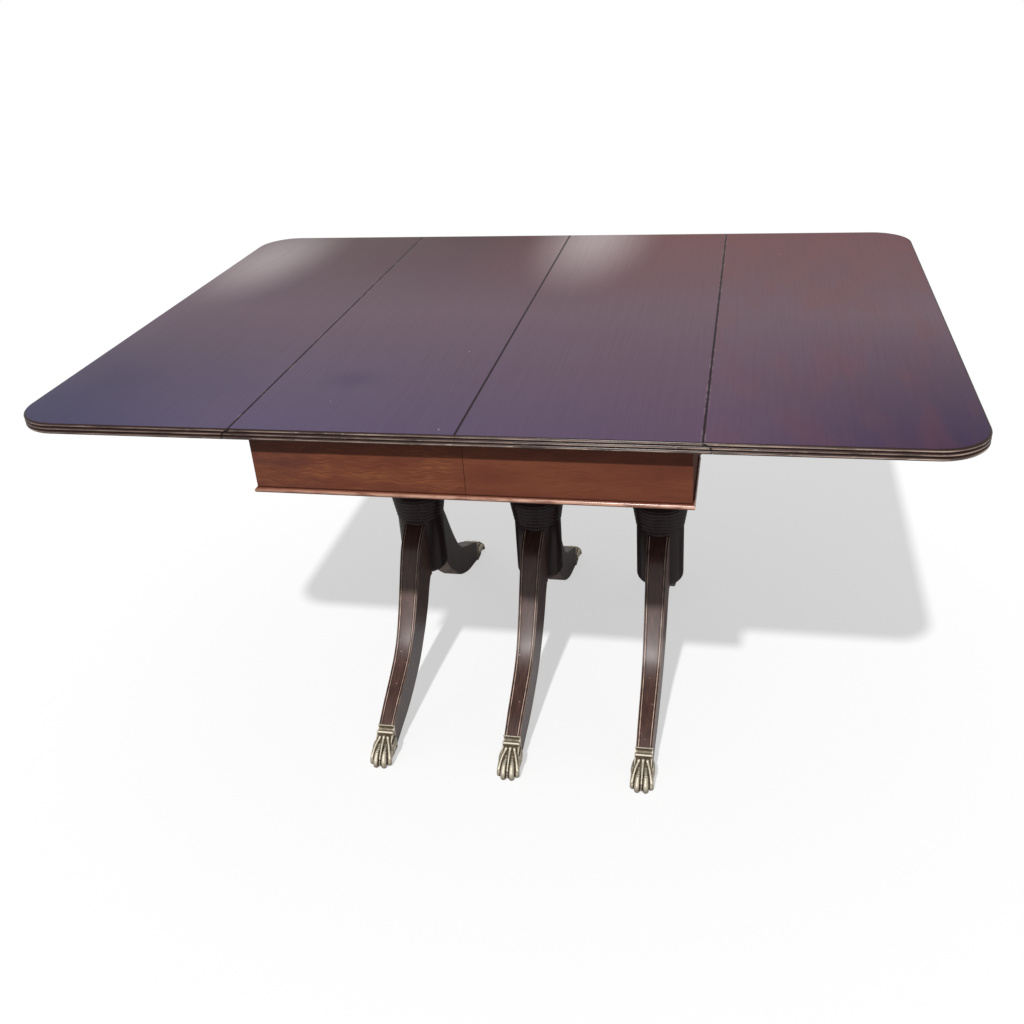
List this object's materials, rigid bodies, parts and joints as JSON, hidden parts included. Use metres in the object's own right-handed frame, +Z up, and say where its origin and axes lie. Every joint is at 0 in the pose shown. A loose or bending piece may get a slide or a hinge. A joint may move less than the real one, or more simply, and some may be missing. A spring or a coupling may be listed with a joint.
{
  "type": "drop-leaf pedestal dining table",
  "caption": "Mahogany dining table with drop leaves on rule joints, reeded edges, an extending top and turned pedestals on sabre legs with brass paw feet.",
  "frame": {"origin": "on the floor below the middle column, with the top closed and both leaves up", "axes": "+X along the length of the table, +Y towards its rear, +Z up; the front is -Y"},
  "size_m": [1.42, 1.05, 0.749],
  "materials": {
    "mahogany_top": "polished",
    "mahogany_apron": "polished",
    "mahogany_dark": "polished",
    "beech": "plain",
    "brass": "aged",
    "steel": "satin"
  },
  "bodies": {
    "centre_pedestal": {"centre_column": "mahogany_dark", "centre_front_leg": "mahogany_dark", "centre_rear_leg": "mahogany_dark", "centre_front_paw": "brass", "centre_rear_paw": "brass", "centre_bolster": "mahogany_dark", "centre_slide_rails": "beech", "centre_fasteners": "steel"},
    "pinion": {"equalizer_pinion": "steel"},
    "left_half": {"left_top": "mahogany_top", "left_front_apron": "mahogany_apron", "left_rear_apron": "mahogany_apron", "left_end_apron": "mahogany_apron", "left_apron_bead": "mahogany_apron", "left_corner_blocks": "beech", "left_bolster": "mahogany_dark", "left_column": "mahogany_dark", "left_front_leg": "mahogany_dark", "left_rear_leg": "mahogany_dark", "left_front_paw": "brass", "left_rear_paw": "brass", "left_slide_rails": "beech", "left_rack": "steel", "left_hinge_plates": "brass", "left_stay_brackets": "steel", "left_fasteners": "steel", "lock_cases": "brass", "table_pins": "beech"},
    "right_half": {"right_top": "mahogany_top", "right_front_apron": "mahogany_apron", "right_rear_apron": "mahogany_apron", "right_end_apron": "mahogany_apron", "right_apron_bead": "mahogany_apron", "right_corner_blocks": "beech", "right_bolster": "mahogany_dark", "right_column": "mahogany_dark", "right_front_leg": "mahogany_dark", "right_rear_leg": "mahogany_dark", "right_front_paw": "brass", "right_rear_paw": "brass", "right_slide_rails": "beech", "right_rack": "steel", "right_hinge_plates": "brass", "right_stay_brackets": "steel", "right_fasteners": "steel", "lock_keepers": "brass"},
    "left_leaf": {"left_leaf": "mahogany_top", "left_leaf_hinge_plates": "brass", "left_leaf_stay_ears": "steel", "left_leaf_screws": "steel"},
    "right_leaf": {"right_leaf": "mahogany_top", "right_leaf_hinge_plates": "brass", "right_leaf_stay_ears": "steel", "right_leaf_screws": "steel"},
    "left_front_stay": {"left_front_stay": "steel"},
    "left_rear_stay": {"left_rear_stay": "steel"},
    "right_front_stay": {"right_front_stay": "steel"},
    "right_rear_stay": {"right_rear_stay": "steel"},
    "front_lock_lever": {"front_lock_lever": "steel"},
    "rear_lock_lever": {"rear_lock_lever": "steel"}
  },
  "joints": [
    {"name": "left_half_slide", "type": "slide", "parent": "centre_pedestal", "child": "left_half", "axis": [-1, 0, 0], "range_m": [0, 0.28]},
    {"name": "right_half_slide", "type": "slide", "parent": "centre_pedestal", "child": "right_half", "axis": [1, 0, 0], "range_m": [0, 0.28]},
    {"name": "pinion_spin", "type": "hinge", "parent": "centre_pedestal", "child": "pinion", "pos_m": [0, 0, 0.6957], "axis": [0, 0, 1], "range_deg": [0, 803]},
    {"name": "left_leaf_hinge", "type": "hinge", "parent": "left_half", "child": "left_leaf", "pos_m": [-0.34, 0, 0.7335], "axis": [0, 1, 0], "range_deg": [-90, 0]},
    {"name": "right_leaf_hinge", "type": "hinge", "parent": "right_half", "child": "right_leaf", "pos_m": [0.34, 0, 0.7335], "axis": [0, -1, 0], "range_deg": [-90, 0]},
    {"name": "left_front_stay_pivot", "type": "hinge", "parent": "left_leaf", "child": "left_front_stay", "pos_m": [-0.43436, -0.33, 0.7225], "axis": [0, 1, 0], "range_deg": [0, 45]},
    {"name": "left_rear_stay_pivot", "type": "hinge", "parent": "left_leaf", "child": "left_rear_stay", "pos_m": [-0.43436, 0.33, 0.7225], "axis": [0, 1, 0], "range_deg": [0, 45]},
    {"name": "right_front_stay_pivot", "type": "hinge", "parent": "right_leaf", "child": "right_front_stay", "pos_m": [0.43436, -0.33, 0.7225], "axis": [0, -1, 0], "range_deg": [0, 45]},
    {"name": "right_rear_stay_pivot", "type": "hinge", "parent": "right_leaf", "child": "right_rear_stay", "pos_m": [0.43436, 0.33, 0.7225], "axis": [0, -1, 0], "range_deg": [0, 45]},
    {"name": "front_lock_lever_pivot", "type": "hinge", "parent": "left_half", "child": "front_lock_lever", "pos_m": [-0.022, -0.4, 0.7235], "axis": [0, 0, 1], "range_deg": [0, 90]},
    {"name": "rear_lock_lever_pivot", "type": "hinge", "parent": "left_half", "child": "rear_lock_lever", "pos_m": [-0.022, 0.4, 0.7235], "axis": [0, 0, -1], "range_deg": [0, 90]}
  ],
  "couplings": [
    {"joint": "right_half_slide", "follows": "left_half_slide", "ratio": 1},
    {"joint": "pinion_spin", "follows": "left_half_slide", "rad_per_m": 50},
    {"joint": "left_front_stay_pivot", "follows": "left_leaf_hinge", "ratio": -0.5},
    {"joint": "left_rear_stay_pivot", "follows": "left_leaf_hinge", "ratio": -0.5},
    {"joint": "right_front_stay_pivot", "follows": "right_leaf_hinge", "ratio": -0.5},
    {"joint": "right_rear_stay_pivot", "follows": "right_leaf_hinge", "ratio": -0.5}
  ]
}
